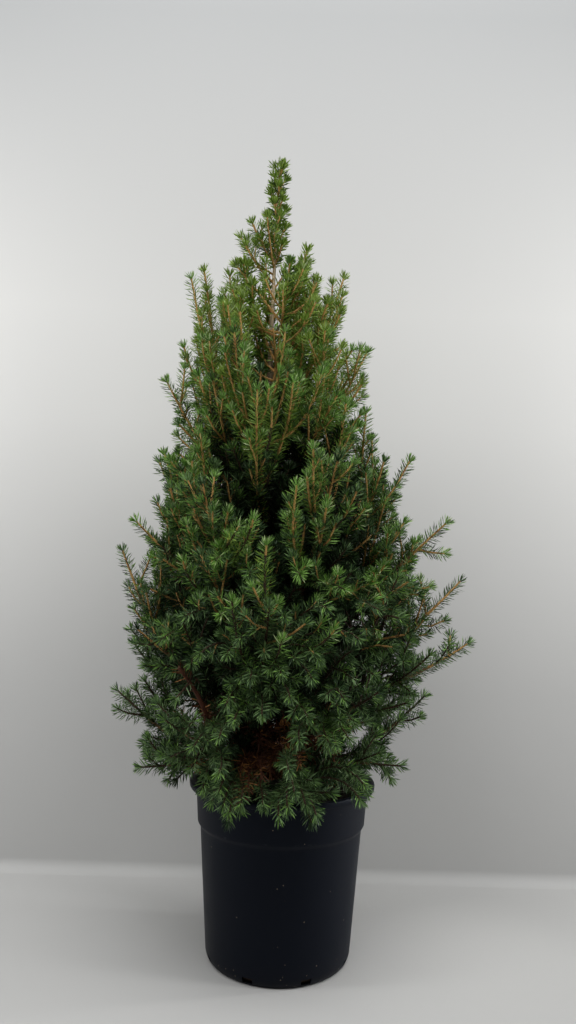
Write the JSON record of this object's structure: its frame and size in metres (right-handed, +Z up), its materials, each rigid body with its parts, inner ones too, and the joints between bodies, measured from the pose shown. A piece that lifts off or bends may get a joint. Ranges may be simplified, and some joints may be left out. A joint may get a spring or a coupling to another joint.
{
  "type": "potted dwarf alberta spruce",
  "caption": "Potted dwarf conifer about a metre tall: a cone of rising, needled boughs on one trunk, in a round black nursery pot filled with soil, which stands on its flat underside.",
  "frame": {"origin": "middle of the pot's flat underside", "axes": "+Z up along the pot's axis, +X to the right and +Y to the back as the plant is seen from its front"},
  "size_m": [0.4875, 0.3993, 1.076],
  "materials": {
    "pot_plastic": "near-black injection-moulded plastic, faintly glossy",
    "soil": "dark peat and bark potting mix",
    "bark": "thin scaly brown bark",
    "needles": "short stiff green needles, brighter at the shoot tips"
  },
  "bodies": {
    "root": {"bough_back_low": "bark", "bough_back_middle": "bark", "bough_back_rising_right": "bark", "bough_back_spreading_left": "bark", "bough_back_spreading_right": "bark", "bough_front_low_left": "bark", "bough_front_low_right": "bark", "bough_front_middle": "bark", "bough_front_rising_left": "bark", "bough_front_rising_right": "bark", "bough_front_spreading_left": "bark", "bough_front_spreading_right": "bark", "bough_left_long": "bark", "bough_left_low": "bark", "bough_left_middle": "bark", "bough_left_rising": "bark", "bough_left_short": "bark", "bough_left_spreading": "bark", "bough_right_long": "bark", "bough_right_longest": "bark", "bough_right_low": "bark", "bough_right_middle": "bark", "bough_right_rising": "bark", "bough_right_spreading": "bark", "foliage_back_low": "needles", "foliage_back_middle": "needles", "foliage_back_rising_right": "needles", "foliage_back_spreading_left": "needles", "foliage_back_spreading_right": "needles", "foliage_back_top": "needles", "foliage_back_upper": "needles", "foliage_front_low_left": "needles", "foliage_front_low_right": "needles", "foliage_front_middle": "needles", "foliage_front_rising_left": "needles", "foliage_front_rising_right": "needles", "foliage_front_spreading_left": "needles", "foliage_front_spreading_right": "needles", "foliage_front_top": "needles", "foliage_front_upper": "needles", "foliage_leader": "needles", "foliage_left_long": "needles", "foliage_left_low": "needles", "foliage_left_middle": "needles", "foliage_left_rising": "needles", "foliage_left_short": "needles", "foliage_left_spreading": "needles", "foliage_left_top": "needles", "foliage_left_upper": "needles", "foliage_right_long": "needles", "foliage_right_longest": "needles", "foliage_right_low": "needles", "foliage_right_middle": "needles", "foliage_right_rising": "needles", "foliage_right_spreading": "needles", "foliage_right_top": "needles", "foliage_right_upper": "needles", "pot": "pot_plastic", "potting_soil": "soil", "trunk": "bark"}
  },
  "joints": []
}
